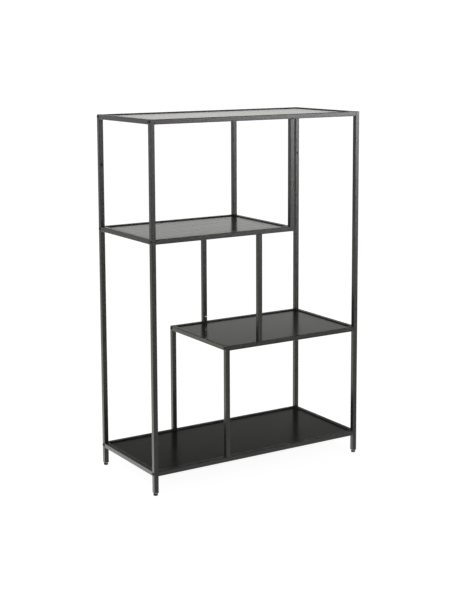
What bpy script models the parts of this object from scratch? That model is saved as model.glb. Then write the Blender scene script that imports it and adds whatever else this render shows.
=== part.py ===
"""Slim steel-frame bookcase with four inset boards, two of them staggered part-width shelves.

Axes: +X to the right along the width, +Y to the back, +Z up.
Origin: on the floor, under the middle of the frame. All sizes are in metres.
"""
import math

import bmesh
import bpy
from mathutils import Matrix, Vector

# Overall size of the frame, outside to outside of the tubes
WIDTH = 0.770
DEPTH = 0.350
HEIGHT = 1.140

# Upper face of the rails at each shelf level, above the floor
UPPER_LEVEL = 0.785
LOWER_LEVEL = 0.430
BOTTOM_LEVEL = 0.075

# Part-width shelves: the upper one starts at the left posts, the lower one at the right posts
UPPER_SHELF_LENGTH = 0.5133
LOWER_SHELF_LENGTH = 0.5133
# Sideways shift of the middle posts from the centre of the two shelves' overlap
MIDDLE_POST_SHIFT = 0.0

# Square tube
TUBE = 0.015
WALL = 0.0012
TUBE_CORNER_RADIUS = 0.0015
CORNER_STEPS = 3

# Gap between pieces that touch, and of a plug in its tube
CONTACT_GAP = 0.0003

# Radial clearance of a bolt, pin or screw in a plain hole, and in a threaded one
HOLE_GAP = 0.0004
THREAD_GAP = 0.0003

# Boards
BOARD_THICKNESS = 0.009
BOARD_EDGE_GAP = 0.001

# Tabs welded to the long rails, which carry the boards; their underside is above the rail's
TAB_RISE = 0.0012
TAB_THICKNESS = 0.0015
TAB_REACH = 0.020
TAB_WIDTH = 0.016
TAB_END_DISTANCE = 0.060
TAB_MAX_SPACING = 0.330
# Screws up through the tabs into the boards
BOARD_SCREW_DIAMETER = 0.0034
BOARD_SCREW_DEPTH = 0.0072

# Frame bolts: through both walls of an upright, into a nut plug welded in the end of a rail
BOLT_DIAMETER = 0.0050
BOLT_HEAD_DIAMETER = 0.0088
BOLT_HEAD_HEIGHT = 0.0022
BOLT_SOCKET_WIDTH = 0.0030
BOLT_SOCKET_DEPTH = 0.0012
NUT_PLUG_LENGTH = 0.012

# Pins in the ends of the dividers and middle posts, which stand in holes in the rails
PIN_DIAMETER = 0.0060
PIN_LENGTH = 0.0060
PIN_PLUG_LENGTH = 0.010
# Stub that a middle post slides over at its foot, and the screw that locks the post to it
STUB_HEIGHT = 0.026
LOCK_SCREW_HEIGHT = 0.018
LOCK_SCREW_DIAMETER = 0.0038
LOCK_SCREW_HEAD_DIAMETER = 0.0078
LOCK_SCREW_HEAD_HEIGHT = 0.0018
LOCK_SCREW_GRIP = 0.0045
LOCK_SCREW_TIP_ROOM = 0.0015

# Plates welded in tube ends, a little below the end, and how far welded pieces run into the metal
END_PLATE_THICKNESS = 0.0015
END_PLATE_RECESS = 0.0002
WELD_DEPTH = 0.0004

# Wall-fixing holes through the rear posts
WALL_HOLE_DIAMETER = 0.0070
WALL_HOLE_BELOW_TOP = 0.158

# Levelling feet; the pad is round and a little narrower than the tube above it
FOOT_PAD_INSET = 0.0005
FOOT_PAD_THICKNESS = 0.0060
FOOT_PAD_EDGE = 0.0012
FOOT_SOCKET_DEPTH = 0.0034
FOOT_NECK_DIAMETER = 0.0044
FOOT_NECK_GAP = 0.0006
FOOT_STUD_DIAMETER = 0.0060
FOOT_STUD_LENGTH = 0.024
FOOT_THREAD_GAP = 0.0002
FOOT_HEX_WIDTH = 0.0100
FOOT_HEX_THICKNESS = 0.0018
FOOT_NUT_LENGTH = 0.014

# Worked out from the sizes above
LEFT = -WIDTH / 2
RIGHT = WIDTH / 2
FRONT = -DEPTH / 2
REAR = DEPTH / 2
HALF_TUBE = TUBE / 2
BORE = TUBE - 2 * WALL
PLUG = BORE - 2 * CONTACT_GAP
NUT_PLUG_BORE = BOLT_DIAMETER + 2 * THREAD_GAP
FOOT_NUT_BORE = FOOT_STUD_DIAMETER + 2 * FOOT_THREAD_GAP
SCREW_HOLE_DIAMETER = BOARD_SCREW_DIAMETER + 2 * HOLE_GAP
LOCK_SCREW_HOLE_DIAMETER = LOCK_SCREW_DIAMETER + 2 * HOLE_GAP
FOOT_HEIGHT = FOOT_PAD_THICKNESS + FOOT_HEX_THICKNESS + 2 * CONTACT_GAP
UPPER_SHELF_END = LEFT + UPPER_SHELF_LENGTH
LOWER_SHELF_START = RIGHT - LOWER_SHELF_LENGTH
MIDDLE_POST_X = (UPPER_SHELF_END + LOWER_SHELF_START) / 2 + MIDDLE_POST_SHIFT
POST_X = {"left": LEFT + HALF_TUBE, "right": RIGHT - HALF_TUBE}
POST_Y = {"front": FRONT + HALF_TUBE, "rear": REAR - HALF_TUBE}
UPPER_DIVIDER_X = UPPER_SHELF_END - HALF_TUBE
LOWER_DIVIDER_X = LOWER_SHELF_START + HALF_TUBE
LEVEL = {"top": HEIGHT, "upper": UPPER_LEVEL, "lower": LOWER_LEVEL, "bottom": BOTTOM_LEVEL}
# Shelf level: the x of the uprights that its front and rear rails butt against
SPAN = {
    "top": (POST_X["left"], POST_X["right"]),
    "upper": (POST_X["left"], UPPER_DIVIDER_X),
    "lower": (LOWER_DIVIDER_X, POST_X["right"]),
    "bottom": (POST_X["left"], POST_X["right"]),
}

# Flats on round pieces; a block with a round bore needs a multiple of 8, a hexagon a multiple of 12
ROUND_SIDES = 12
BLOCK_SIDES = 8
FOOT_SIDES = 24
NUT_SIDES = 16

# Outline of a button head: share of its height above the seat, share of its radius
BUTTON_HEAD = ((1.0, 0.60), (0.62, 0.90), (0.22, 1.0), (0.0, 1.0))
# Share of the radius that is chamfered off the tip of a shank or pin
TIP_CHAMFER = 0.3
# Edges sharper than this, in degrees, stay crisp in the smooth shading
CREASE_ANGLE = 35


def new_scene():
    """Remove the objects that are already in the scene."""
    for old in list(bpy.data.objects):
        bpy.data.objects.remove(old, do_unlink=True)


def make_material(name, color, roughness, metallic):
    material = bpy.data.materials.new(name)
    material.use_nodes = True
    shader = material.node_tree.nodes["Principled BSDF"]
    shader.inputs["Base Color"].default_value = (*color, 1.0)
    shader.inputs["Roughness"].default_value = roughness
    shader.inputs["Metallic"].default_value = metallic
    return material


def add_object(name, bm, material, location=(0, 0, 0), parent=None):
    """Link a finished bmesh as an object with one material."""
    bmesh.ops.recalc_face_normals(bm, faces=bm.faces)
    mesh = bpy.data.meshes.new(name)
    bm.to_mesh(mesh)
    bm.free()
    mesh.materials.append(material)
    mesh.shade_smooth()
    mesh.set_sharp_from_angle(angle=math.radians(CREASE_ANGLE))
    obj = bpy.data.objects.new(name, mesh)
    obj.location = location
    obj.parent = parent
    bpy.context.collection.objects.link(obj)
    return obj


def axis_matrix(origin, direction):
    """Matrix that takes local +Z to a direction and the local origin to a point."""
    turn = Vector((0, 0, 1)).rotation_difference(Vector(direction))
    return Matrix.Translation(origin) @ turn.to_matrix().to_4x4()


def ring(bm, height, half_x, half_y, outline, sides, place):
    """One closed ring of a turned or prismatic shape: round, square or hexagonal."""
    corners = []
    for step in range(sides):
        angle = 2 * math.pi * step / sides
        x = math.cos(angle)
        y = math.sin(angle)
        if outline == "square":
            reach = 1 / max(abs(x), abs(y))
        elif outline == "hex":
            reach = 1 / math.cos((angle + math.pi / 6) % (math.pi / 3) - math.pi / 6)
        else:
            reach = 1.0
        corners.append(bm.verts.new(place @ Vector((half_x * x * reach, half_y * y * reach, height))))
    return corners


def join_rings(bm, first, second):
    for here, there, next_there, next_here in zip(
        first, second, second[1:] + second[:1], first[1:] + first[:1]
    ):
        bm.faces.new((here, there, next_there, next_here))


def stack(bm, rings, sides, place=None, bored=False):
    """Solid through a list of rings (height, half_x, half_y, outline).

    A bored solid runs up its outside and back down its bore, and closes on its first ring.
    """
    place = place or Matrix.Identity(4)
    loops = [ring(bm, *row, sides, place) for row in rings]
    for first, second in zip(loops, loops[1:]):
        join_rings(bm, first, second)
    if bored:
        join_rings(bm, loops[-1], loops[0])
    else:
        bm.faces.new(loops[0])
        bm.faces.new(reversed(loops[-1]))


def head_rows(diameter, height):
    """Button head from its top down to its seat, one contact gap above local z = 0."""
    radius = diameter / 2
    return [
        (-CONTACT_GAP - height * up, radius * out, radius * out, "round") for up, out in BUTTON_HEAD
    ]


def shank_rows(low, high, diameter):
    """Straight shank with a chamfered tip at its high end."""
    radius = diameter / 2
    chamfer = radius * TIP_CHAMFER
    tip = radius - chamfer
    return [
        (low, radius, radius, "round"),
        (high - chamfer, radius, radius, "round"),
        (high, tip, tip, "round"),
    ]


def bored_block(bm, half_x, half_y, low, high, bore, place=None, sides=BLOCK_SIDES):
    """Rectangular block with a round hole right through it along local Z."""
    rows = [
        (low, half_x, half_y, "square"),
        (high, half_x, half_y, "square"),
        (high, bore / 2, bore / 2, "round"),
        (low, bore / 2, bore / 2, "round"),
    ]
    stack(bm, rows, sides, place, bored=True)


def corner_arc(centre_x, centre_y, radius, start_angle):
    """Points of one quarter-round tube corner."""
    points = []
    for step in range(CORNER_STEPS + 1):
        angle = start_angle + math.pi / 2 * step / CORNER_STEPS
        points.append((centre_x + radius * math.cos(angle), centre_y + radius * math.sin(angle)))
    return points


def tube_mesh(length):
    """Open-ended square tube with rounded outer corners, from z = 0 up to its length."""
    bm = bmesh.new()
    inset = HALF_TUBE - TUBE_CORNER_RADIUS
    inside = BORE / 2
    signs = [(1, 1), (-1, 1), (-1, -1), (1, -1)]
    outer = {0.0: [], length: []}
    inner = {0.0: [], length: []}
    for height in outer:
        for index, (sign_x, sign_y) in enumerate(signs):
            arc = corner_arc(sign_x * inset, sign_y * inset, TUBE_CORNER_RADIUS, index * math.pi / 2)
            outer[height].append([bm.verts.new((x, y, height)) for x, y in arc])
            inner[height].append(bm.verts.new((sign_x * inside, sign_y * inside, height)))
    for height in outer:
        for index in range(4):
            arc = outer[height][index]
            core = inner[height][index]
            following = (index + 1) % 4
            for first, second in zip(arc, arc[1:]):
                bm.faces.new((first, second, core))
            bm.faces.new((arc[-1], outer[height][following][0], inner[height][following], core))
    low = [vert for arc in outer[0.0] for vert in arc]
    high = [vert for arc in outer[length] for vert in arc]
    join_rings(bm, low, high)
    join_rings(bm, inner[0.0], inner[length])
    return bm


def square_tube(name, start, direction, length, material):
    """Tube along an axis, its centre line starting at a point."""
    bm = tube_mesh(length)
    bm.transform(axis_matrix(Vector((0, 0, 0)), direction))
    return add_object(name, bm, material, location=start)


def operand(target, bm, name):
    """Hidden helper object that a Boolean on the target uses."""
    helper = add_object(name, bm, target.data.materials[0])
    helper.hide_render = True
    helper.display_type = "WIRE"
    return helper


def add_boolean(target, operation, helper):
    modifier = target.modifiers.new(operation.lower(), "BOOLEAN")
    modifier.operation = operation
    modifier.solver = "EXACT"
    modifier.object = helper


def drill(target, holes):
    """Cut round holes (start, direction, length, diameter) into an object."""
    bm = bmesh.new()
    for start, direction, length, diameter in holes:
        rows = [(0.0, diameter / 2, diameter / 2, "round"), (length, diameter / 2, diameter / 2, "round")]
        stack(bm, rows, ROUND_SIDES, axis_matrix(Vector(start), direction))
    add_boolean(target, "DIFFERENCE", operand(target, bm, "drill_" + target.name))


def weld(target, bm):
    """Join closed solids that run into the target's metal."""
    add_boolean(target, "UNION", operand(target, bm, "weld_" + target.name))


def end_plug(bm, end, direction, length, bore=None, sides=BLOCK_SIDES):
    """Plate or nut welded inside a tube end; the direction points into the tube."""
    place = axis_matrix(Vector(end), direction)
    half = BORE / 2 + WELD_DEPTH
    high = END_PLATE_RECESS + length
    if bore:
        bored_block(bm, half, half, END_PLATE_RECESS, high, bore, place, sides)
    else:
        rows = [(END_PLATE_RECESS, half, half, "square"), (high, half, half, "square")]
        stack(bm, rows, sides, place)


def pin_rows(half, low, high):
    """Square block from low to high on a round pin that reaches down to -PIN_LENGTH."""
    pin = reversed(shank_rows(-low, PIN_LENGTH, PIN_DIAMETER))
    rows = [(-height, x, y, outline) for height, x, y, outline in pin]
    return rows + [(low, half, half, "square"), (high, half, half, "square")]


def pin_plug(bm, end, direction):
    """Plug welded inside a tube end, with a pin that stands out of the end."""
    low = END_PLATE_RECESS
    rows = pin_rows(BORE / 2 + WELD_DEPTH, low, low + PIN_PLUG_LENGTH)
    stack(bm, rows, BLOCK_SIDES, axis_matrix(Vector(end), direction))


# Uprights that long rails are bolted to: outer face, side the bolts point to, and rail levels
BOLTED_UPRIGHTS = {
    "left": (LEFT, 1, ("top", "upper", "bottom")),
    "right": (RIGHT, -1, ("top", "lower", "bottom")),
    "upper_divider": (UPPER_SHELF_END, -1, ("upper",)),
    "lower_divider": (LOWER_SHELF_START, 1, ("lower",)),
}


def bolt_holes(upright, y):
    """Holes through both walls of an upright at its rail levels."""
    face_x, side, levels = BOLTED_UPRIGHTS[upright]
    start_x = face_x - side * CONTACT_GAP
    length = TUBE + 2 * CONTACT_GAP
    return [
        ((start_x, y, LEVEL[level] - HALF_TUBE), (side, 0, 0), length, BOLT_DIAMETER + 2 * HOLE_GAP)
        for level in levels
    ]


def build_posts(material):
    """Four corner posts: plate in the top end, foot nut in the lower end, bolt and wall holes."""
    for side, x in POST_X.items():
        for row, y in POST_Y.items():
            post = square_tube(
                f"post_{row}_{side}", (x, y, FOOT_HEIGHT), (0, 0, 1), HEIGHT - FOOT_HEIGHT, material
            )
            bm = bmesh.new()
            end_plug(bm, (x, y, HEIGHT), (0, 0, -1), END_PLATE_THICKNESS)
            end_plug(bm, (x, y, FOOT_HEIGHT), (0, 0, 1), FOOT_NUT_LENGTH, FOOT_NUT_BORE, NUT_SIDES)
            weld(post, bm)
            holes = bolt_holes(side, y)
            if row == "rear":
                start = (x, REAR + CONTACT_GAP, HEIGHT - WALL_HOLE_BELOW_TOP)
                holes.append((start, (0, -1, 0), TUBE + 2 * CONTACT_GAP, WALL_HOLE_DIAMETER))
            drill(post, holes)


def build_side_rails(material):
    """Rails from front to back, welded between the uprights of each end and divider frame."""
    rails = [
        ("side_rail_left_top", POST_X["left"], "top"),
        ("side_rail_left_upper", POST_X["left"], "upper"),
        ("side_rail_left_bottom", POST_X["left"], "bottom"),
        ("side_rail_right_top", POST_X["right"], "top"),
        ("side_rail_right_lower", POST_X["right"], "lower"),
        ("side_rail_right_bottom", POST_X["right"], "bottom"),
        ("upper_divider_rail", UPPER_DIVIDER_X, "upper"),
        ("lower_divider_rail", LOWER_DIVIDER_X, "lower"),
    ]
    start_y = FRONT + TUBE + CONTACT_GAP
    length = DEPTH - 2 * (TUBE + CONTACT_GAP)
    for name, x, level in rails:
        square_tube(name, (x, start_y, LEVEL[level] - HALF_TUBE), (0, 1, 0), length, material)


def pin_hole(x, y, face_z, upward):
    """Hole for a pin through the near wall of a rail."""
    start = (x, y, face_z - upward * CONTACT_GAP)
    return (start, (0, 0, upward), PIN_LENGTH + 2 * CONTACT_GAP, PIN_DIAMETER + 2 * HOLE_GAP)


def build_long_rails(material):
    """Front and rear rails of the four levels, with nut plugs, board tabs and pin holes."""
    pins = {
        "top": (UPPER_DIVIDER_X, HEIGHT - TUBE, 1),
        "upper": (MIDDLE_POST_X, UPPER_LEVEL - TUBE, 1),
        "lower": (MIDDLE_POST_X, LOWER_LEVEL, -1),
        "bottom": (LOWER_DIVIDER_X, BOTTOM_LEVEL, -1),
    }
    for level, (low_x, high_x) in SPAN.items():
        start_x = low_x + HALF_TUBE + CONTACT_GAP
        end_x = high_x - HALF_TUBE - CONTACT_GAP
        z = LEVEL[level] - HALF_TUBE
        tab_high = board_underside(level) - CONTACT_GAP
        pin_x, face_z, upward = pins[level]
        for row, y in POST_Y.items():
            inward = 1 if row == "front" else -1
            rail = square_tube(
                f"rail_{row}_{level}", (start_x, y, z), (1, 0, 0), end_x - start_x, material
            )
            bm = bmesh.new()
            end_plug(bm, (start_x, y, z), (1, 0, 0), NUT_PLUG_LENGTH, NUT_PLUG_BORE)
            end_plug(bm, (end_x, y, z), (-1, 0, 0), NUT_PLUG_LENGTH, NUT_PLUG_BORE)
            reach = TAB_REACH + WELD_DEPTH
            tab_y = y + inward * (HALF_TUBE - WELD_DEPTH + reach / 2)
            for x in tab_positions(level):
                place = Matrix.Translation((x, tab_y, 0))
                low = tab_high - TAB_THICKNESS
                bored_block(bm, TAB_WIDTH / 2, reach / 2, low, tab_high, SCREW_HOLE_DIAMETER, place)
            weld(rail, bm)
            drill(rail, [pin_hole(pin_x, y, face_z, upward)])


def divider_post(name, x, y, low, high, material, pin_up):
    """Short upright with a pin plug in the end that meets a rail."""
    post = square_tube(name, (x, y, low), (0, 0, 1), high - low, material)
    bm = bmesh.new()
    if pin_up:
        pin_plug(bm, (x, y, high), (0, 0, -1))
    else:
        pin_plug(bm, (x, y, low), (0, 0, 1))
    return post, bm


def build_dividers(material):
    """Upper divider under the top rails, lower divider on the bottom rails, two middle posts."""
    for row, y in POST_Y.items():
        inward = 1 if row == "front" else -1
        low = UPPER_LEVEL - TUBE
        high = HEIGHT - TUBE - CONTACT_GAP
        post, bm = divider_post(
            f"upper_divider_post_{row}", UPPER_DIVIDER_X, y, low, high, material, pin_up=True
        )
        end_plug(bm, (UPPER_DIVIDER_X, y, low), (0, 0, 1), END_PLATE_THICKNESS)
        weld(post, bm)
        drill(post, bolt_holes("upper_divider", y))
        low = BOTTOM_LEVEL + CONTACT_GAP
        post, bm = divider_post(
            f"lower_divider_post_{row}", LOWER_DIVIDER_X, y, low, LOWER_LEVEL, material, pin_up=False
        )
        end_plug(bm, (LOWER_DIVIDER_X, y, LOWER_LEVEL), (0, 0, -1), END_PLATE_THICKNESS)
        weld(post, bm)
        drill(post, bolt_holes("lower_divider", y))
        low = LOWER_LEVEL + CONTACT_GAP
        high = UPPER_LEVEL - TUBE - CONTACT_GAP
        post, bm = divider_post(
            f"middle_post_{row}", MIDDLE_POST_X, y, low, high, material, pin_up=True
        )
        weld(post, bm)
        start_y = y + inward * (HALF_TUBE + CONTACT_GAP)
        start = (MIDDLE_POST_X, start_y, LOWER_LEVEL + LOCK_SCREW_HEIGHT)
        drill(post, [(start, (0, -inward, 0), WALL + 2 * CONTACT_GAP, LOCK_SCREW_HOLE_DIAMETER)])


def board_underside(level):
    """Height of a board's underside: it rests on the tabs, which sit low on the rails."""
    return LEVEL[level] - TUBE + TAB_RISE + TAB_THICKNESS + CONTACT_GAP


def tab_positions(level):
    """Places of the board tabs along one long rail."""
    low_x, high_x = SPAN[level]
    first = low_x + HALF_TUBE + TAB_END_DISTANCE
    last = high_x - HALF_TUBE - TAB_END_DISTANCE
    spaces = max(1, math.ceil((last - first) / TAB_MAX_SPACING))
    return [first + (last - first) * step / spaces for step in range(spaces + 1)]


def build_boards(material):
    """One board inside each shelf frame, with pilot holes over the tab holes."""
    width = DEPTH - 2 * TUBE - 2 * BOARD_EDGE_GAP
    tab_y = DEPTH / 2 - TUBE - TAB_REACH / 2
    for level, (low_x, high_x) in SPAN.items():
        underside = board_underside(level)
        bm = bmesh.new()
        bmesh.ops.create_cube(bm, size=1.0)
        length = high_x - low_x - TUBE - 2 * BOARD_EDGE_GAP
        bmesh.ops.scale(bm, vec=(length, width, BOARD_THICKNESS), verts=bm.verts)
        centre = ((low_x + high_x) / 2, 0, underside + BOARD_THICKNESS / 2)
        board = add_object(f"board_{level}", bm, material, location=centre)
        depth = BOARD_SCREW_DEPTH + CONTACT_GAP
        drill(board, [
            ((x, y, underside - CONTACT_GAP), (0, 0, 1), depth, SCREW_HOLE_DIAMETER)
            for x in tab_positions(level)
            for y in (-tab_y, tab_y)
        ])


def build_frame_bolts(material):
    """Button-head bolts with a hexagonal socket, through the uprights into the rails."""
    socket = BOLT_SOCKET_WIDTH / 2
    top = -CONTACT_GAP - BOLT_HEAD_HEIGHT
    end = TUBE + CONTACT_GAP + NUT_PLUG_LENGTH
    rows = [
        (top + BOLT_SOCKET_DEPTH, socket, socket, "hex"),
        (top, socket, socket, "hex"),
        *head_rows(BOLT_HEAD_DIAMETER, BOLT_HEAD_HEIGHT),
        *shank_rows(-CONTACT_GAP, end, BOLT_DIAMETER),
    ]
    for upright, (face_x, side, levels) in BOLTED_UPRIGHTS.items():
        turn = axis_matrix(Vector((0, 0, 0)), (side, 0, 0))
        for level in levels:
            for row, y in POST_Y.items():
                bm = bmesh.new()
                stack(bm, rows, ROUND_SIDES, turn)
                place = (face_x, y, LEVEL[level] - HALF_TUBE)
                add_object(f"bolt_{row}_{upright}_{level}", bm, material, location=place)


def build_middle_post_feet(steel):
    """Stubs on the lower rails that the middle posts slide over, each with a locking screw."""
    plug = PLUG / 2
    stub_rows = pin_rows(plug, CONTACT_GAP, STUB_HEIGHT)
    screw_rows = [
        *head_rows(LOCK_SCREW_HEAD_DIAMETER, LOCK_SCREW_HEAD_HEIGHT),
        *shank_rows(-CONTACT_GAP, WALL + LOCK_SCREW_GRIP, LOCK_SCREW_DIAMETER),
    ]
    screw_z = LOWER_LEVEL + LOCK_SCREW_HEIGHT
    for row, y in POST_Y.items():
        inward = 1 if row == "front" else -1
        bm = bmesh.new()
        stack(bm, stub_rows, BLOCK_SIDES)
        stub = add_object(f"middle_post_stub_{row}", bm, steel, location=(MIDDLE_POST_X, y, LOWER_LEVEL))
        start = (MIDDLE_POST_X, y + inward * (plug + CONTACT_GAP), screw_z)
        depth = LOCK_SCREW_GRIP + LOCK_SCREW_TIP_ROOM
        drill(stub, [(start, (0, -inward, 0), depth, LOCK_SCREW_HOLE_DIAMETER)])
        bm = bmesh.new()
        stack(bm, screw_rows, ROUND_SIDES, axis_matrix(Vector((0, 0, 0)), (0, -inward, 0)))
        place = (MIDDLE_POST_X, y + inward * HALF_TUBE, screw_z)
        add_object(f"middle_post_lock_screw_{row}", bm, steel, location=place)


def build_foot(name, x, y, plastic, steel):
    """Levelling foot: a round pad and a threaded stud with a hexagon, on the post's axis."""
    axis = bpy.data.objects.new("axis_" + name, None)
    axis.location = (x, y, 0)
    bpy.context.collection.objects.link(axis)
    pad = HALF_TUBE - FOOT_PAD_INSET
    rim = pad - FOOT_PAD_EDGE
    neck = FOOT_NECK_DIAMETER / 2
    socket = neck + FOOT_NECK_GAP
    socket_floor = FOOT_PAD_THICKNESS - FOOT_SOCKET_DEPTH
    bm = bmesh.new()
    rows = [
        (0.0, rim, rim, "round"),
        (FOOT_PAD_EDGE, pad, pad, "round"),
        (FOOT_PAD_THICKNESS - FOOT_PAD_EDGE, pad, pad, "round"),
        (FOOT_PAD_THICKNESS, rim, rim, "round"),
        (FOOT_PAD_THICKNESS, socket, socket, "round"),
        (socket_floor, socket, socket, "round"),
    ]
    stack(bm, rows, FOOT_SIDES)
    add_object("foot_pad_" + name, bm, plastic, parent=axis)
    hex_low = FOOT_PAD_THICKNESS + CONTACT_GAP
    hex_high = hex_low + FOOT_HEX_THICKNESS
    hexagon = FOOT_HEX_WIDTH / 2
    bm = bmesh.new()
    rows = [
        (socket_floor + CONTACT_GAP, neck, neck, "round"),
        (hex_low, neck, neck, "round"),
        (hex_low, hexagon, hexagon, "hex"),
        (hex_high, hexagon, hexagon, "hex"),
        *shank_rows(hex_high, hex_high + FOOT_STUD_LENGTH, FOOT_STUD_DIAMETER),
    ]
    stack(bm, rows, ROUND_SIDES)
    add_object("foot_stud_" + name, bm, steel, parent=axis)


def main():
    new_scene()
    black_steel = make_material("black_steel", (0.020, 0.020, 0.022), 0.42, 0.0)
    black_board = make_material("black_board", (0.024, 0.023, 0.022), 0.38, 0.0)
    black_plastic = make_material("black_plastic", (0.016, 0.016, 0.016), 0.55, 0.0)
    black_bolt = make_material("black_bolt", (0.030, 0.030, 0.032), 0.35, 0.9)
    zinc_steel = make_material("zinc_steel", (0.62, 0.62, 0.60), 0.32, 1.0)
    build_posts(black_steel)
    build_side_rails(black_steel)
    build_long_rails(black_steel)
    build_dividers(black_steel)
    build_boards(black_board)
    build_frame_bolts(black_bolt)
    build_middle_post_feet(zinc_steel)
    for side, x in POST_X.items():
        for row, y in POST_Y.items():
            build_foot(f"{row}_{side}", x, y, black_plastic, zinc_steel)


main()
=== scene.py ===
"""Finished look of a slim black steel bookcase: tubes, boards, bolts, screws, welds and levelling feet."""
import math

import bmesh
import bpy
import numpy as np
from bpy.props import FloatProperty, FloatVectorProperty, IntProperty, PointerProperty
from mathutils import Euler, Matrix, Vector


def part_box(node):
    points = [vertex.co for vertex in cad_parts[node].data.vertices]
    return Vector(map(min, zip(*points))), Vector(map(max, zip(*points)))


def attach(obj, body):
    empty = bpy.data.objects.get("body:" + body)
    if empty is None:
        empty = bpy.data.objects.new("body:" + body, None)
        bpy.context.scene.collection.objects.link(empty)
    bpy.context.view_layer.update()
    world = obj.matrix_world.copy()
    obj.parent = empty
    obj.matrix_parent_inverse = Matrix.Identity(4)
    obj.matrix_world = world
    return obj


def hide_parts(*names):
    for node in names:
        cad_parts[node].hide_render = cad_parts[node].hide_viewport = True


bl_info = {
    "name": "Steel Bookcase",
    "version": (1, 0, 0),
    "blender": (4, 5, 0),
    "location": "View3D > Sidebar > Bookcase",
    "description": "Builds the visible pieces of a steel-frame bookcase around its packed model",
    "category": "Add Mesh",
}

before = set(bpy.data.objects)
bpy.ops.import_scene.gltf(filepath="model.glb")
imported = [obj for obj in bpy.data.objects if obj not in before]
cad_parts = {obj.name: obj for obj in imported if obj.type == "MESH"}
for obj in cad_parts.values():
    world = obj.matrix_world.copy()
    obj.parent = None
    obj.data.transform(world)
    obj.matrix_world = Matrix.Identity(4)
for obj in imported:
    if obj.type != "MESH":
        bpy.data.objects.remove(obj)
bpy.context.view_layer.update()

ENDS = ("front", "rear")
CORNERS = [f"{end}_{side}" for end in ENDS for side in ("left", "right")]
LEVELS = ("top", "upper", "lower", "bottom")
MM = 0.001

# Clearance between pieces that touch, and how far a welded piece is sunk into what carries it
GAP = 0.3 * MM
SUNK_PLATE = 0.1 * MM
SUNK_TAB = 0.2 * MM

# Facets of a tube's corner and of the rounding of its cut ends
CORNER_STEPS = 6
RIM_STEPS = 3

# Degrees between two faces above which the edge they share is sharp
CREASE = 32.0


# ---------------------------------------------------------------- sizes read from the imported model

def tube_width():
    """Outside width of the square tube, which is that of a corner post."""
    low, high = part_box("post_front_left")
    return high.x - low.x


def tube_run(node, axis):
    """Ends of a tube's centre line; anything welded to the tube's side is left out.

    The centre line lies half a tube inside the box on the sides that carry no tab: the outer
    long side of a front or rear rail, the upper side of a level rail.
    """
    low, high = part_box(node)
    half = tube_width() / 2
    centre = (low + high) / 2
    if axis == "X":
        centre.y = low.y + half if centre.y < 0 else high.y - half
        centre.z = high.z - half
    start, end = centre.copy(), centre.copy()
    index = "XYZ".index(axis)
    start[index] = low[index]
    end[index] = high[index]
    return start, end


# ---------------------------------------------------------------- surfaces as arrays

def grid_quads(rows, columns, close_rows=False, close_columns=True):
    """Corner numbers of the quads of a grid whose points are numbered row by row."""
    index = np.arange(rows * columns).reshape(rows, columns)
    if close_rows:
        index = np.vstack((index, index[:1]))
    if close_columns:
        index = np.hstack((index, index[:, :1]))
    return np.stack((index[:-1, :-1], index[:-1, 1:], index[1:, 1:], index[1:, :-1]), axis=-1)


def patch(points, close_rows=False, close_columns=True, keep=None):
    """A grid of points (rows, columns, 3) with its quads; keep masks quads that stay."""
    rows, columns = points.shape[:2]
    quads = grid_quads(rows, columns, close_rows, close_columns)
    quads = quads.reshape(-1, 4) if keep is None else quads[keep]
    return points.reshape(-1, 3), quads


def rounded_outline(half_x, half_y, radius, corner_steps, flat_steps=1):
    """Rounded rectangle, counter-clockwise: a quarter circle at each corner, straight in between."""
    turn = np.arange(4)[:, None] * math.pi / 2
    angle = turn + np.linspace(0, math.pi / 2, corner_steps + 1)[None, :]
    sign_x = np.array([1, -1, -1, 1])[:, None]
    sign_y = np.array([1, 1, -1, -1])[:, None]
    x = sign_x * (half_x - radius) + radius * np.cos(angle)
    y = sign_y * (half_y - radius) + radius * np.sin(angle)
    arcs = np.stack((x, y), axis=-1)
    share = (np.arange(1, flat_steps) / flat_steps)[None, :, None]
    flats = arcs[:, -1:] * (1 - share) + np.roll(arcs, -1, axis=0)[:, :1] * share
    return np.concatenate((arcs, flats), axis=1).reshape(-1, 2)


def round_outline(radius, columns):
    """Circle of points."""
    angle = 2 * math.pi * np.arange(columns) / columns
    return radius * np.stack((np.cos(angle), np.sin(angle)), axis=-1)


def hex_outline(apothem, columns):
    """Hexagon in polar form: apothem over the cosine of the angle from the nearest flat's middle."""
    angle = 2 * math.pi * np.arange(columns) / columns
    reach = apothem / np.cos((angle + math.pi / 6) % (math.pi / 3) - math.pi / 6)
    return reach[:, None] * np.stack((np.cos(angle), np.sin(angle)), axis=-1)


def cross_outline(arm, half_width, columns):
    """Cross recess in polar form: the farther of two bars, each cut at its end and at its side."""
    angle = 2 * math.pi * (np.arange(columns) + 0.5) / columns
    cosine, sine = np.abs(np.cos(angle)), np.abs(np.sin(angle))
    along = np.minimum(arm / np.maximum(cosine, 1e-6), half_width / np.maximum(sine, 1e-6))
    across = np.minimum(arm / np.maximum(sine, 1e-6), half_width / np.maximum(cosine, 1e-6))
    reach = np.maximum(along, across)
    return reach[:, None] * np.stack((np.cos(angle), np.sin(angle)), axis=-1)


def lift(outlines, heights):
    """Stack flat outlines (rows, columns, 2) at heights (rows) into a grid of points."""
    outlines = np.asarray(outlines)
    heights = np.broadcast_to(np.asarray(heights)[:, None, None], outlines.shape[:2] + (1,))
    return np.concatenate((outlines, heights), axis=-1)


def turned(radii, heights, columns):
    """Surface of revolution about local Z: each row is a circle of its radius at its height."""
    return lift([round_outline(radius, columns) for radius in radii], heights)


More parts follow.
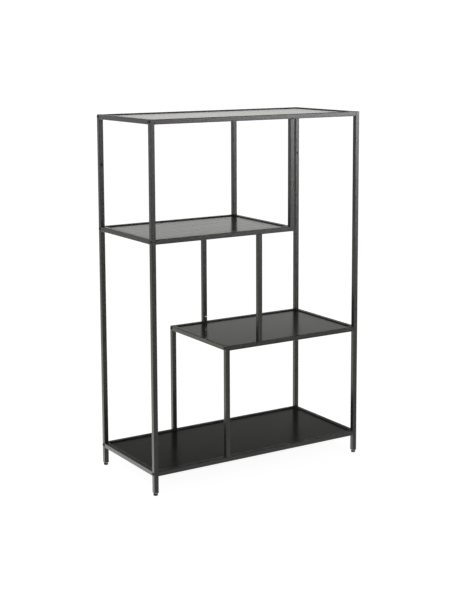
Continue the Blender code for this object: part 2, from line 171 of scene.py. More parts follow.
def rounded_rows(length, edge, steps):
    """Rows along a bar whose ends are rounded: distance along it, and how far the outline is inset.

    Within one edge radius of an end the inset follows a quarter circle.
    """
    angle = np.linspace(0, math.pi / 2, steps + 1)
    along = edge * (1 - np.cos(angle))
    inset = edge * (1 - np.sin(angle))
    return np.concatenate((along, length - along[::-1])), np.concatenate((inset, inset[::-1]))


def capped(points):
    """Close the first and the last row of a grid, each onto its own middle."""
    first, last = (np.broadcast_to(row.mean(axis=1, keepdims=True), row.shape)
                   for row in (points[:1], points[-1:]))
    return np.concatenate((first, points, last))


def bar(half_x, half_y, length, corner, edge, corner_steps=4, steps=RIM_STEPS):
    """Solid bar along local Z with a rounded outline and rounded ends, closed at both ends."""
    along, inset = rounded_rows(length, edge, steps)
    outlines = [
        rounded_outline(half_x - cut, half_y - cut, max(corner - cut, corner * 0.3), corner_steps)
        for cut in inset
    ]
    return patch(capped(lift(outlines, along)))


def placed(patches, origin, direction, across):
    """Turn patches so that local Z follows a direction and local X another, square to it, and move them."""
    axes = np.stack((across, np.cross(direction, across), direction)).astype(float)
    return [(points @ axes + np.array(origin, float), quads) for points, quads in patches]


def make_piece(name, patches, material, body, replaced=(), crease=CREASE):
    """Join patches into one mesh piece at the origin, with its normals outwards, and hand it to the frame."""
    offsets = np.cumsum([0] + [len(points) for points, _ in patches[:-1]])
    points = np.concatenate([points for points, _ in patches])
    quads = np.concatenate([quads + offset for (_, quads), offset in zip(patches, offsets)])
    mesh = bpy.data.meshes.new(name)
    mesh.from_pydata(points.tolist(), [], quads.tolist())
    form = bmesh.new()
    form.from_mesh(mesh)
    bmesh.ops.remove_doubles(form, verts=form.verts, dist=1e-6)
    bmesh.ops.recalc_face_normals(form, faces=form.faces)
    form.to_mesh(mesh)
    form.free()
    mesh.shade_smooth()
    mesh.set_sharp_from_angle(angle=math.radians(crease))
    mesh.materials.append(material)
    piece = bpy.data.objects.new(name, mesh)
    bpy.context.scene.collection.objects.link(piece)
    shading = piece.modifiers.new("flat_faces_lead", "WEIGHTED_NORMAL")
    shading.mode = "FACE_AREA"
    shading.weight = 100
    shading.keep_sharp = True
    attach(piece, body)
    if replaced:
        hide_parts(*replaced)


def steel_piece(context, name, patches, replaced=(), crease=CREASE):
    """Powder-coated piece of the welded and bolted frame."""
    make_piece(name, patches, coat(context), "bookcase_frame", replaced, crease)


# ---------------------------------------------------------------- materials

def node(tree, kind, operation=None, **inputs):
    """Add a shader node; _0 names its first socket, and a value may be an output socket to link from."""
    made = tree.nodes.new(kind)
    if operation:
        made.operation = operation
    for name, value in inputs.items():
        socket = made.inputs[int(name[1:]) if name.startswith("_") else name]
        if isinstance(value, bpy.types.NodeSocket):
            tree.links.new(value, socket)
        else:
            socket.default_value = value
    return made


def blank_material(name):
    """Material with just a Principled shader, ready for its own nodes."""
    material = bpy.data.materials.new(name)
    material.use_nodes = True
    tree = material.node_tree
    return material, tree, tree.nodes["Principled BSDF"]


def dress(tree, shader, color, gloss, relief):
    """Link a colour, a roughness and a relief to a shader."""
    for output, name in ((color, "Base Color"), (gloss, "Roughness"), (relief, "Normal")):
        tree.links.new(output, shader.inputs[name])


def stretched_coordinates(tree, scale=(1, 1, 1), shift=(0, 0, 0)):
    """Object coordinates scaled along each axis, so that a pattern runs along a piece."""
    where = tree.nodes.new("ShaderNodeTexCoord").outputs["Object"]
    return node(tree, "ShaderNodeMapping", Vector=where, Location=shift, Scale=scale).outputs["Vector"]


def noise(tree, vector, scale, detail=2.0, roughness=0.5, distortion=0.0):
    made = node(tree, "ShaderNodeTexNoise", Vector=vector, Scale=scale, Detail=detail,
                Roughness=roughness, Distortion=distortion)
    return made.outputs["Fac"]


def span(tree, value, low_in, high_in, low_out, high_out, smooth=False):
    """Map Range: carries one interval of a value to another."""
    limits = {"From Min": low_in, "From Max": high_in, "To Min": low_out, "To Max": high_out}
    made = node(tree, "ShaderNodeMapRange", Value=value, **limits)
    made.interpolation_type = "SMOOTHSTEP" if smooth else "LINEAR"
    return made.outputs["Result"]


def total(tree, first, second):
    return node(tree, "ShaderNodeMath", "ADD", _0=first, _1=second).outputs["Value"]


def product(tree, first, second):
    return node(tree, "ShaderNodeMath", "MULTIPLY", _0=first, _1=second).outputs["Value"]


def tint(tree, share, first, second):
    """Mix a colour or a colour socket with a second colour, by a share; 6, 7 and 2 are its colour sockets."""
    made = tree.nodes.new("ShaderNodeMix")
    made.data_type = "RGBA"
    tree.links.new(share, made.inputs["Factor"])
    if isinstance(first, bpy.types.NodeSocket):
        tree.links.new(first, made.inputs[6])
    else:
        made.inputs[6].default_value = (*first, 1.0)
    made.inputs[7].default_value = (*second, 1.0)
    return made.outputs[2]


def bump(tree, height, distance):
    return node(tree, "ShaderNodeBump", Height=height, Strength=1.0, Distance=distance).outputs["Normal"]


def shade(color, factor):
    return tuple(min(1.0, channel * factor) for channel in color)


def powder_coat(settings):
    """Satin powder coat: fine orange peel, faint clouds in the colour and in the gloss."""
    material, tree, shader = blank_material("satin_powder_coat")
    even = stretched_coordinates(tree)
    clouds = noise(tree, even, 9.0, 3.0)
    peel = noise(tree, even, 1.0 / settings.peel_size, 2.0, 0.45)
    fine = noise(tree, even, 4.5 / settings.peel_size, 1.0)
    base = tuple(settings.coat_color)
    color = tint(tree, span(tree, clouds, 0.3, 0.7, 0.0, 1.0), shade(base, 0.88), shade(base, 1.12))
    patchiness = 0.05
    gloss = total(tree, product(tree, clouds, patchiness), product(tree, fine, patchiness))
    gloss = total(tree, gloss, settings.coat_roughness - patchiness)
    ripples = total(tree, peel, product(tree, fine, 0.25))
    dress(tree, shader, color, gloss, bump(tree, ripples, settings.peel_depth))
    shader.inputs["IOR"].default_value = 1.5
    return material


def ash_laminate(settings):
    """Black-stained ash: fine streaks, arched figure and short open pores along X, under a satin film."""
    material, tree, shader = blank_material("black_ash_laminate")
    along, across = 1 / settings.grain_length, 1 / settings.streak_width
    broad = noise(tree, stretched_coordinates(tree, (along, across, 20)), 1.0, 3.0, 0.55, 0.25)
    fine = noise(tree, stretched_coordinates(tree, (3 * along, 8 * across, 30)), 1.0, 3.0, 0.6)
    figure_space = stretched_coordinates(tree, (0.9, 8.0, 3.0), (0.37, 0.11, 0.0))
    figure = node(tree, "ShaderNodeTexWave", Vector=figure_space, Scale=1.5, Distortion=5.0, Detail=2.0)
    figure.bands_direction = "Y"
    figure.inputs["Detail Scale"].default_value = 0.9
    pore_space = stretched_coordinates(tree, (1 / settings.pore_length, 1 / settings.pore_width, 90))
    pores = span(tree, noise(tree, pore_space, 1.0, 1.5), 0.54, 0.68, 0.0, 1.0, smooth=True)
    tone = total(tree, product(tree, broad, 0.35), product(tree, figure.outputs["Fac"], 0.25))
    tone = total(tree, tone, product(tree, fine, 0.4))
    base = tuple(settings.ash_color)
    color = tint(tree, span(tree, tone, 0.35, 0.65, 0.0, 1.0), shade(base, 0.55), shade(base, 1.6))
    color = tint(tree, product(tree, pores, 0.7), color, shade(base, 0.3))
    gloss = total(tree, span(tree, tone, 0.35, 0.65, 0.03, -0.03), product(tree, pores, 0.015))
    gloss = total(tree, gloss, settings.ash_roughness)
    relief = node(tree, "ShaderNodeMath", "SUBTRACT", _0=product(tree, fine, 0.5), _1=pores)
    dress(tree, shader, color, gloss, bump(tree, relief.outputs["Value"], settings.grain_depth))
    shader.inputs["IOR"].default_value = 1.5
    return material


def moulded_plastic(settings):
    """Matt moulded plastic with a fine spark-eroded texture."""
    material, tree, shader = blank_material("moulded_black_plastic")
    even = stretched_coordinates(tree)
    speckle = noise(tree, even, 2600.0, 2.0)
    base = tuple(settings.pad_color)
    color = tint(tree, noise(tree, even, 160.0, 2.0), shade(base, 0.8), shade(base, 1.2))
    gloss = span(tree, speckle, 0.3, 0.7, 0.5, 0.62)
    dress(tree, shader, color, gloss, bump(tree, speckle, 0.03 * MM))
    return material


def plated_metal(name, color, metallic, low_gloss, high_gloss):
    """Plated or blackened metal: patchy gloss and faint fine scratches."""
    material, tree, shader = blank_material(name)
    patches = noise(tree, stretched_coordinates(tree), 420.0, 3.0)
    scratches = noise(tree, stretched_coordinates(tree, (400, 400, 6000)), 1.0, 2.0)
    color = tint(tree, patches, shade(color, 0.8), shade(color, 1.15))
    gloss = span(tree, patches, 0.3, 0.7, low_gloss, high_gloss)
    dress(tree, shader, color, gloss, bump(tree, scratches, 0.01 * MM))
    shader.inputs["Metallic"].default_value = metallic
    return material


# ---------------------------------------------------------------- settings

def length(name, description, default):
    return FloatProperty(name=name, description=description, default=default, min=0.0,
                         precision=5, subtype="DISTANCE", unit="LENGTH")


def number(name, description, default, low=0.0, high=10.0):
    return FloatProperty(name=name, description=description, default=default, min=low, max=high)


def hue(name, description, default):
    return FloatVectorProperty(name=name, description=description, default=default, size=3,
                               min=0.0, max=1.0, subtype="COLOR")


def degrees(name, description, default):
    return FloatProperty(name=name, description=description, default=math.radians(default),
                         subtype="ANGLE", unit="ROTATION")


class BookcaseTubes(bpy.types.PropertyGroup):
    corner: length("Tube corner", "Outside corner radius of the square tube", 1.5 * MM)
    wall: length("Tube wall", "Wall thickness of the square tube", 1.2 * MM)
    end_round: length("End rounding", "Rounding of a cut tube end", 0.6 * MM)
    cap_recess: length("Cap recess", "Depth of the welded end plates below the tube ends", 0.2 * MM)
    cap_thickness: length("Cap thickness", "Thickness of the welded end plates", 1.5 * MM)
    nut_length: length("Foot nut", "Length of the nut in the lower end of a post", 14 * MM)
    nut_bore: length("Foot nut bore", "Bore of the nut in the lower end of a post", 6.4 * MM)
    plug_corner: length("Plug corner", "Corner radius of the end plates and foot nuts", 0.6 * MM)
    wall_hole: length("Wall-fixing hole", "Diameter of the hole through a rear post", 7 * MM)
    wall_hole_drop: length("Wall-fixing drop", "Distance from the top down to the hole", 158 * MM)
    weld: length("Weld leg", "Leg of the fillet welds", 1.5 * MM)
    coat_color: hue("Coat colour", "Colour of the powder coat", (0.0120, 0.0120, 0.0125))
    coat_roughness: number("Coat roughness", "Mean roughness of the powder coat", 0.27)
    peel_size: length("Orange peel size", "Size of the coat's ripples", 0.9 * MM)
    peel_depth: length("Orange peel depth", "Height of the coat's ripples", 0.002 * MM)


class BookcaseBoards(bpy.types.PropertyGroup):
    edge: length("Board edge", "Rounding of the boards' edges", 0.5 * MM)
    ash_color: hue("Ash colour", "Mean colour of the stained ash", (0.0100, 0.0097, 0.0092))
    ash_roughness: number("Ash roughness", "Mean roughness of the laminate", 0.20)
    grain_length: length("Streak length", "Length of a grain streak", 220 * MM)
    streak_width: length("Streak width", "Width of a grain streak", 11 * MM)
    pore_length: length("Pore length", "Length of an open pore", 9 * MM)
    pore_width: length("Pore width", "Width of an open pore", 0.45 * MM)
    grain_depth: length("Grain depth", "Depth of the pressed grain", 0.0008 * MM)
    tab_width: length("Tab width", "Width of the tabs that carry the boards", 16 * MM)
    tab_reach: length("Tab reach", "How far a tab stands out of its rail", 20 * MM)
    tab_thickness: length("Tab thickness", "Thickness of the tabs", 1.5 * MM)
    tab_corner: length("Tab corner", "Corner radius of the tabs", 1.6 * MM)
    tab_edge: length("Tab edge", "Rounding of the tabs' edges", 0.25 * MM)
    tab_rise: length("Tab rise", "Underside of the tabs above that of the rail", 1.2 * MM)
    tab_end: length("First tab", "Distance of the first tab from the upright", 60 * MM)
    tab_spacing: length("Tab spacing", "Greatest distance between tabs", 330 * MM)
    screw_head: length("Screw head", "Head diameter of the board screws", 7.2 * MM)
    screw_head_height: length("Screw head height", "Head height of the board screws", 1.9 * MM)
    screw_length: length("Screw length", "Length of the board screws below the head", 8 * MM)
    screw_shank: length("Screw shank", "Shank diameter of the board screws", 3.4 * MM)


class BookcaseFixings(bpy.types.PropertyGroup):
    socket: length("Bolt socket", "Width across flats of the bolts' socket", 3.0 * MM)
    socket_depth: length("Socket depth", "Depth of the bolts' socket", 1.2 * MM)
    head_height: length("Bolt head height", "Height of the button heads", 2.2 * MM)
    shank: length("Bolt shank", "Shank diameter of the bolts", 5.0 * MM)
    bolt_color: hue("Bolt colour", "Colour of the blackened bolts", (0.045, 0.045, 0.048))
    zinc_color: hue("Zinc colour", "Colour of the zinc plate", (0.72, 0.73, 0.74))
    pad_color: hue("Pad colour", "Colour of the moulded pads", (0.014, 0.014, 0.014))
    pad_ribs: IntProperty(name="Pad ribs", description="Grip ribs round a pad", default=24, min=3)
    stud: length("Stud diameter", "Outside diameter of the foot studs", 6.0 * MM)
    pitch: length("Stud pitch", "Thread pitch of the foot studs", 1.0 * MM)
    hexagon: length("Foot hexagon", "Width across flats of the feet's hexagon", 10 * MM)
    hexagon_height: length("Foot hexagon height", "Height of the feet's hexagon", 1.8 * MM)
    neck: length("Foot neck", "Diameter of the neck that sits in a pad", 4.4 * MM)
    neck_depth: length("Foot neck depth", "Depth of the pad's socket for the neck", 3.4 * MM)
    foot_gap: length("Foot gap", "Clearance between a pad and the hexagon above it", 0.3 * MM)
    lock_head: length("Locking head", "Head height of the locking screws", 1.8 * MM)
    lock_shank: length("Locking shank", "Shank diameter of the locking screws", 3.8 * MM)


class BookcaseStudio(bpy.types.PropertyGroup):
    azimuth: degrees("Camera azimuth", "Turn of the camera to the left of straight ahead", 32.122)
    elevation: degrees("Camera elevation", "Height of the camera above the level", 7.546)
    roll: degrees("Camera roll", "Tilt of the camera to one side", -0.245)
    distance: length("Camera distance", "Distance from the camera to the point it aims at", 4.022)
    aim: FloatVectorProperty(name="Aim", description="Point that the camera aims at", size=3,
                             default=(-0.0087, 0.0, 0.8281), subtype="TRANSLATION", unit="LENGTH")
    lens: number("Lens", "Focal length of the camera in millimetres", 74.01, 1.0, 500.0)
    shift: number("Shift", "Vertical shift of the camera", -0.154605, -1.0, 1.0)
    floor_size: length("Floor", "Width of the floor", 60.0)
    floor_color: hue("Floor colour", "Colour of the floor", (0.55, 0.55, 0.55))
    floor_glow: number("Floor glow", "Light that the floor gives by itself, as a lit table does", 0.9)


# ---------------------------------------------------------------- shapes of the pieces

def square_tube(width, tubes, run_length, extra_rows=(), flat_steps=1, keep=None):
    """Hollow square tube along local Z as one closed grid.

    Rows run up the outside, round the upper rim, down the bore and round the lower rim. The outside
    is inset along a quarter circle at both ends.
    """
    along, inset = rounded_rows(run_length, tubes.end_round, RIM_STEPS)
    half = len(along) // 2
    along = np.concatenate((along[:half], extra_rows, along[half:]))
    inset = np.concatenate((inset[:half], np.zeros(len(extra_rows)), inset[half:]))
    outer = [
        rounded_outline(width / 2 - cut, width / 2 - cut, tubes.corner - cut, CORNER_STEPS, flat_steps)
        for cut in inset
    ]
    bore = width / 2 - tubes.wall
    inner = rounded_outline(bore, bore, bore_corner(tubes), CORNER_STEPS, flat_steps)
    inner_along = np.concatenate(([run_length], extra_rows[::-1], [0.0]))
    points = np.concatenate((lift(outer, along), lift([inner] * len(inner_along), inner_along)))
    return patch(points, close_rows=True, keep=keep)


def bore_corner(tubes):
    """Corner radius inside a tube: the outside one less the wall, but never quite sharp."""
    return max(tubes.corner - tubes.wall, 0.2 * MM)


def holed_face(half, hole, steps, depth, lip=0.2 * MM):
    """Square of wall with a round hole, seen from outside: local Z points out of the wall.

    Each ring slides from the square's edge to the hole's circle at the same share; the last rings
    go over a small lip and through the wall, and the inner face runs back out to its square.
    """
    rings = 4
    side = np.linspace(-half, half, steps, endpoint=False)
    full = np.full(steps, half)
    square = np.concatenate((
        np.stack((side, -full), axis=-1), np.stack((full, side), axis=-1),
        np.stack((-side, full), axis=-1), np.stack((-full, -side), axis=-1),
    ))
    unit = square / np.linalg.norm(square, axis=1, keepdims=True)
    share = np.linspace(0, 1, rings)[:, None, None]
    outer = square[None] * (1 - share) + unit[None] * (hole + lip) * share
    inner = (square[None] * (1 - share) + unit[None] * hole * share)[::-1]
    heights = np.concatenate((np.zeros(rings), [-lip], np.full(rings, -depth)))
    return patch(lift(np.concatenate((outer, unit[None] * hole, inner)), heights))


def rear_post_tube(width, tubes, run_length, hole_height, steps=8):
    """Square tube along Z with a round hole through its two faces that look along Y.

    The two flats have extra rows and columns, which leave a square of quads out, outside and inside
    the wall, and a holed square fills it.
    """
    half = width / 2 - tubes.corner
    rows = hole_height + np.linspace(-half, half, steps + 1)
    rim_rows = RIM_STEPS + 1
    outer_rows = 2 * rim_rows + len(rows)
    quarter, place = np.divmod(np.arange(4 * (CORNER_STEPS + steps)), CORNER_STEPS + steps)
    on_flat = (quarter % 2 == 0) & (place >= CORNER_STEPS)
    keep = np.ones((outer_rows + len(rows) + 2, len(on_flat)), bool)
    for first in (rim_rows, outer_rows + 1):
        keep[first:first + steps, on_flat] = False
    patches = [square_tube(width, tubes, run_length, rows, steps, keep)]
    bore_half = width / 2 - tubes.wall - bore_corner(tubes)
    for toward in (-1, 1):
        points, quads = holed_face(half, tubes.wall_hole / 2, steps, tubes.wall)
        inner = np.isclose(points[:, 2], -tubes.wall) & (np.abs(points[:, :2]).max(axis=1) > half - 1e-9)
        points[inner, 0] *= bore_half / half
        patches += placed([(points, quads)], (0, toward * width / 2, hole_height), (0, toward, 0), (1, 0, 0))
    return patches


def end_cap(width, tubes, height, downward):
    """Plate welded into a tube end, its outer face a little below the rim."""
    half = width / 2 - tubes.wall + SUNK_PLATE
    edge = 0.15 * MM
    plate = bar(half, half, tubes.cap_thickness, tubes.plug_corner, edge)
    return placed([plate], (0, 0, height - downward * tubes.cap_recess), (0, 0, -downward), (1, 0, 0))


def foot_nut(width, tubes):
    """Square nut in the lower end of a post: a block with a round bore and a chamfered mouth."""
    half = width / 2 - tubes.wall + SUNK_PLATE
    radius = tubes.nut_bore / 2
    outline = rounded_outline(half, half, tubes.plug_corner, CORNER_STEPS)
    circle = outline / np.linalg.norm(outline, axis=1, keepdims=True)
    chamfer = 0.5 * MM
    rings = [outline, outline, circle * (radius + chamfer), circle * radius, circle * radius,
             circle * (radius + chamfer)]
    low, high = tubes.cap_recess, tubes.cap_recess + tubes.nut_length
    heights = [low, high, high, high - chamfer, low + chamfer, low]
    return [patch(lift(rings, heights), close_rows=True)]


def fillet_weld(leg, run_length, ripple=1.6 * MM):
    """Fillet weld along local Z in the corner of local X and Y: a hollow quarter round with ripples.

    Its leg swells and shrinks a little with each ripple and runs out smoothly at both ends.
    """
    swell, hollowness, sunk, toe = 0.07, 0.72, -0.15, 0.04
    rows = max(8, int(round(run_length / ripple)) * 6) + 1
    z = np.linspace(0, run_length, rows)
    ripples = 1 + swell * np.abs(np.sin(math.pi * z / ripple))
    ends = np.clip(np.minimum(z, run_length - z) / leg, 0.02, 1) ** 0.5
    angle = np.linspace(0, math.pi / 2, CORNER_STEPS)
    hollow = np.stack((1 - hollowness * np.sin(angle), 1 - hollowness * np.cos(angle)), axis=-1)
    hollow = np.concatenate(([(1, sunk)], hollow, [(sunk, 1), (sunk, sunk)]))
    hollow[1], hollow[-3] = (1, toe), (toe, 1)
    return patch(capped(lift((leg * ripples * ends)[:, None, None] * hollow, z)))


def button_bolt(head_radius, fixings, run_length, columns=48):
    """Button-head bolt, head up from local z = 0, shank down: rows go from the socket outwards.

    The socket's rows are hexagons, the dome's rows are circles whose height falls as the square of
    the radius, and the shank ends in a chamfer.
    """
    socket, shank, height = fixings.socket / 2, fixings.shank / 2, fixings.head_height
    chamfer, drill_point, shank_chamfer = 0.12 * MM, 0.25 * MM, 0.6 * MM
    flat, fall = 0.58, 0.72
    depth = height - fixings.socket_depth
    hexagons = ((0.0, depth - drill_point), (socket * 0.98, depth), (socket, height - chamfer),
                (socket + chamfer, height))
    dome = [(head_radius * share, height * (1 - fall * ((share - flat) / (1 - flat)) ** 2.0))
            for share in np.linspace(flat, 0.985, 7)]
    circles = dome + [
        (head_radius, height * 0.18), (head_radius, height * 0.06), (head_radius * 0.975, 0.0),
        (shank, 0.0), (shank, shank_chamfer - run_length), (shank - shank_chamfer, -run_length),
        (0.0, -run_length),
    ]
    outlines = [hex_outline(apothem, columns) for apothem, _ in hexagons]
    outlines += [round_outline(radius, columns) for radius, _ in circles]
    return patch(lift(outlines, [level for _, level in (*hexagons, *circles)]))


def pan_screw(head_radius, head_height, shank, run_length, pointed, columns=64):
    """Pan-head screw with a cross recess, head up from local z = 0, shank down.

    The recess is a cross that narrows to its floor; the head is flat in the middle and rolls over in
    a quarter ellipse; a thread runs round the shank.
    """
    arm, half_width = head_radius * 0.56, head_radius * 0.14
    crosses = ((0.45, 0.6, 0.25), (1.0, 1.0, 0.93), (1.05, 1.25, 0.985))
    flat, roll_low, roll_high = 0.66, 0.25, 0.74
    turn = np.linspace(0, math.pi / 2, 7)
    circles = [(flat + (1 - flat) * math.sin(angle), roll_low + roll_high * math.cos(angle))
               for angle in turn] + [(1.0, 0.08), (0.96, 0.0)]
    outlines = [round_outline(0.0, columns)]
    outlines += [cross_outline(arm * reach, half_width * breadth, columns) for reach, breadth, _ in crosses]
    outlines += [round_outline(head_radius * share, columns) for share, _ in circles]
    levels = [0.15] + [level for _, _, level in crosses] + [level for _, level in circles]
    head = lift(outlines, head_height * np.array(levels))
    pitch, thread_depth, point = 1.2 * MM, 0.22 * MM, (2.0 if pointed else 0.5) * MM
    thread = threaded(shank / 2, pitch, run_length, columns, thread_depth, point)
    thread[..., 2] = -thread[..., 2]
    return patch(np.concatenate((head, thread)))


def threaded(radius, pitch, run_length, columns, depth, point):
    """Threaded shank up local Z from 0: the radius is a saw of the height less the share of a turn.

    The thread fades in over the first pitch, and the end narrows over the point's length.
    """
    rows = int(run_length / pitch * 7) + 2
    z = np.linspace(0, run_length, rows)[:, None]
    angle = (2 * math.pi * np.arange(columns) / columns)[None, :]
    phase = (z / pitch - angle / (2 * math.pi)) % 1.0
    groove = 1 - np.abs(2 * phase - 1)
    fade = np.clip(z / pitch, 0, 1)
    narrowing = np.clip((run_length - z) / point, 0.12, 1)
    reach = (radius - depth * (1 - groove) * fade) * narrowing ** 0.7
    z = np.broadcast_to(z, reach.shape)
    points = np.stack((reach * np.cos(angle), reach * np.sin(angle), z), axis=-1)
    tip = points[-1:] * (0.0, 0.0, 1.0)
    return np.concatenate((points, tip))


def foot_pad(radius, height, fixings):
    """Pad about local Z: hollow underside, rounded lower edge, ribbed side, and a socket for the stud's neck.

    A rib is a cosine of the angle, and it cuts into the two rows of the side only.
    """
    columns = fixings.pad_ribs * 8
    turn = np.linspace(0, math.pi / 2, 5)
    outward, upward = 1 - np.sin(turn), 1 - np.cos(turn)
    lower_edge, upper_edge, rib_depth = 1.1 * MM, 0.6 * MM, 0.22 * MM
    hollow, clearance, chamfer = 0.5 * MM, 0.6 * MM, 0.3 * MM
    socket, floor = fixings.neck / 2 + clearance, height - fixings.neck_depth
    under = [(0.0, hollow), (radius * 0.55, hollow), (radius * 0.62, 0.0)]
    lower = np.stack((radius - lower_edge * outward, lower_edge * upward), axis=-1)
    upper = np.stack((radius - upper_edge * upward, height - upper_edge * outward), axis=-1)
    mouth = [(socket + chamfer, height), (socket, height - chamfer), (socket, floor), (0.0, floor)]
    profile = np.concatenate((under, lower, upper, mouth))
    depth = np.zeros(len(profile))
    side = len(under) + len(lower)
    depth[side - 1:side + 1] = rib_depth
    ribs = 0.5 + 0.5 * np.cos(2 * math.pi * np.arange(columns) / columns * fixings.pad_ribs)
    points = turned(profile[:, 0], profile[:, 1], columns)
    points[..., :2] *= (1 - depth[:, None] * ribs[None, :] / radius)[..., None]
    return points


def foot_stud(hexagon_low, full_length, fixings, columns=48):
    """Stud about local Z: a neck, a hexagon with turned-off corners at both faces, and a thread above it."""
    neck, hexagon = fixings.neck / 2, fixings.hexagon / 2
    hexagon_high = hexagon_low + fixings.hexagon_height
    chamfer, neck_chamfer, thread_depth, point = 0.35 * MM, 0.3 * MM, 0.5 * MM, 1.0 * MM
    corners = hex_outline(hexagon, columns)
    cut = round_outline(1.0, columns) * np.minimum(np.linalg.norm(corners, axis=1), hexagon * 0.99)[:, None]
    rings = [round_outline(radius, columns) for radius in (0.0, neck - neck_chamfer, neck, neck)]
    rings += [cut, corners, corners, cut]
    heights = [0.0, 0.0, neck_chamfer, hexagon_low, hexagon_low, hexagon_low + chamfer,
               hexagon_high - chamfer, hexagon_high]
    thread = threaded(fixings.stud / 2, fixings.pitch, full_length - hexagon_high, columns,
                      thread_depth, point)
    thread[..., 2] += hexagon_high
    return np.concatenate((lift(rings, heights), thread))


# ---------------------------------------------------------------- operators

def coat(context):
    """Powder coat, made when it is first asked for, as the other shared finishes are."""
    return bpy.data.materials.get("satin_powder_coat") or powder_coat(context.scene.bookcase_tubes)


def zinc(context):
    color = tuple(context.scene.bookcase_fixings.zinc_color)
    return bpy.data.materials.get("bright_zinc") or plated_metal("bright_zinc", color, 1.0, 0.22, 0.36)


def black_oxide(context):
    color = tuple(context.scene.bookcase_fixings.bolt_color)
    return bpy.data.materials.get("black_oxide") or plated_metal("black_oxide", color, 0.85, 0.32, 0.46)


class BOOKCASE_OT_posts(bpy.types.Operator):
    """Build the four corner posts with their end plates, foot nuts and wall-fixing holes"""

    bl_idname = "bookcase.posts"
    bl_label = "Corner Posts"

    def execute(self, context):
        tubes = context.scene.bookcase_tubes
        width = tube_width()
        for corner in CORNERS:
            start, finish = tube_run(f"post_{corner}", "Z")
            run_length = finish.z - start.z
            if corner.startswith("rear"):
                patches = rear_post_tube(width, tubes, run_length, run_length - tubes.wall_hole_drop)
            else:
                patches = [square_tube(width, tubes, run_length)]
            patches += end_cap(width, tubes, run_length, 1) + foot_nut(width, tubes)
            steel_piece(context, f"corner_post_{corner}", placed(patches, start, (0, 0, 1), (1, 0, 0)),
                        [f"post_{corner}"])
        return {"FINISHED"}


def cross_rails():
    """Names of the rails that run from front to back."""
    return sorted(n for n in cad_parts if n.startswith("side_rail") or n.endswith("divider_rail"))


class BOOKCASE_OT_side_rails(bpy.types.Operator):
    """Build the rails that run from front to back, in the end frames and the dividers"""

    bl_idname = "bookcase.side_rails"
    bl_label = "Side Rails"

    def execute(self, context):
        tubes = context.scene.bookcase_tubes
        for node_name in cross_rails():
            start, finish = tube_run(node_name, "Y")
            tube = square_tube(tube_width(), tubes, finish.y - start.y)
            steel_piece(context, f"cross_tube_{node_name}", placed([tube], start, (0, 1, 0), (0, 0, 1)),
                        [node_name])
        return {"FINISHED"}


def tab_places(start_x, end_x, boards):
    """Places of the board tabs along a rail between two uprights, evenly spread between the end ones."""
    first, last = start_x + boards.tab_end, end_x - boards.tab_end
    spaces = max(1, math.ceil((last - first) / boards.tab_spacing))
    return np.linspace(first, last, spaces + 1)


def long_rails():
    """Name, both ends and inward direction along Y of each front and rear rail."""
    for end in ENDS:
        for level in LEVELS:
            name = f"rail_{end}_{level}"
            yield name, *tube_run(name, "X"), 1 if end == "front" else -1


class BOOKCASE_OT_long_rails(bpy.types.Operator):
    """Build the front and rear rails with the welded tabs that carry the boards"""

    bl_idname = "bookcase.long_rails"
    bl_label = "Long Rails"

    def execute(self, context):
        tubes, boards = context.scene.bookcase_tubes, context.scene.bookcase_boards
        width = tube_width()
        bead_inset = 1.5 * MM
        for node_name, start, finish, inward in long_rails():
            tube = square_tube(width, tubes, finish.x - start.x)
            patches = placed([tube], start, (1, 0, 0), (0, 0, 1))
            face_y = start.y + inward * width / 2
            low = start.z - width / 2 + boards.tab_rise
            for x in tab_places(start.x, finish.x, boards):
                plate = bar(boards.tab_width / 2, boards.tab_reach / 2 + SUNK_TAB, boards.tab_thickness,
                            boards.tab_corner, boards.tab_edge, 5)
                centre_y = face_y + inward * (boards.tab_reach / 2 - SUNK_TAB)
                patches += placed([plate], (x, centre_y, low), (0, 0, 1), (1, 0, 0))
                bead = fillet_weld(tubes.weld * 0.6, boards.tab_width - 2 * bead_inset)
                bead_x = x - inward * (boards.tab_width / 2 - bead_inset)
                patches += placed([bead], (bead_x, face_y, low), (inward, 0, 0), (0, 0, -1))
            steel_piece(context, f"long_tube_{node_name}", patches, [node_name])
        return {"FINISHED"}


class BOOKCASE_OT_dividers(bpy.types.Operator):
    """Build the short uprights: an end without a rail is closed by a plate"""

    bl_idname = "bookcase.dividers"
    bl_label = "Dividers"

    def execute(self, context):
        tubes = context.scene.bookcase_tubes
        width = tube_width()
        uprights = (("upper_divider_post", None, "top"), ("lower_divider_post", "bottom", None),
                    ("middle_post", "lower", "upper"))
        for end in ENDS:
            for kind, level_below, level_above in uprights:
                node_name = f"{kind}_{end}"
                start, finish = tube_run(node_name, "Z")
                if level_below:
                    start.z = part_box(f"rail_front_{level_below}")[1].z + GAP
                if level_above:
                    finish.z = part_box(f"rail_front_{level_above}")[1].z - width - GAP
                run_length = finish.z - start.z
                patches = [square_tube(width, tubes, run_length)]
                if not level_below:
                    patches += end_cap(width, tubes, 0.0, -1)
                if not level_above:
                    patches += end_cap(width, tubes, run_length, 1)
                steel_piece(context, f"short_upright_{node_name}",
                            placed(patches, start, (0, 0, 1), (1, 0, 0)), [node_name])
        return {"FINISHED"}


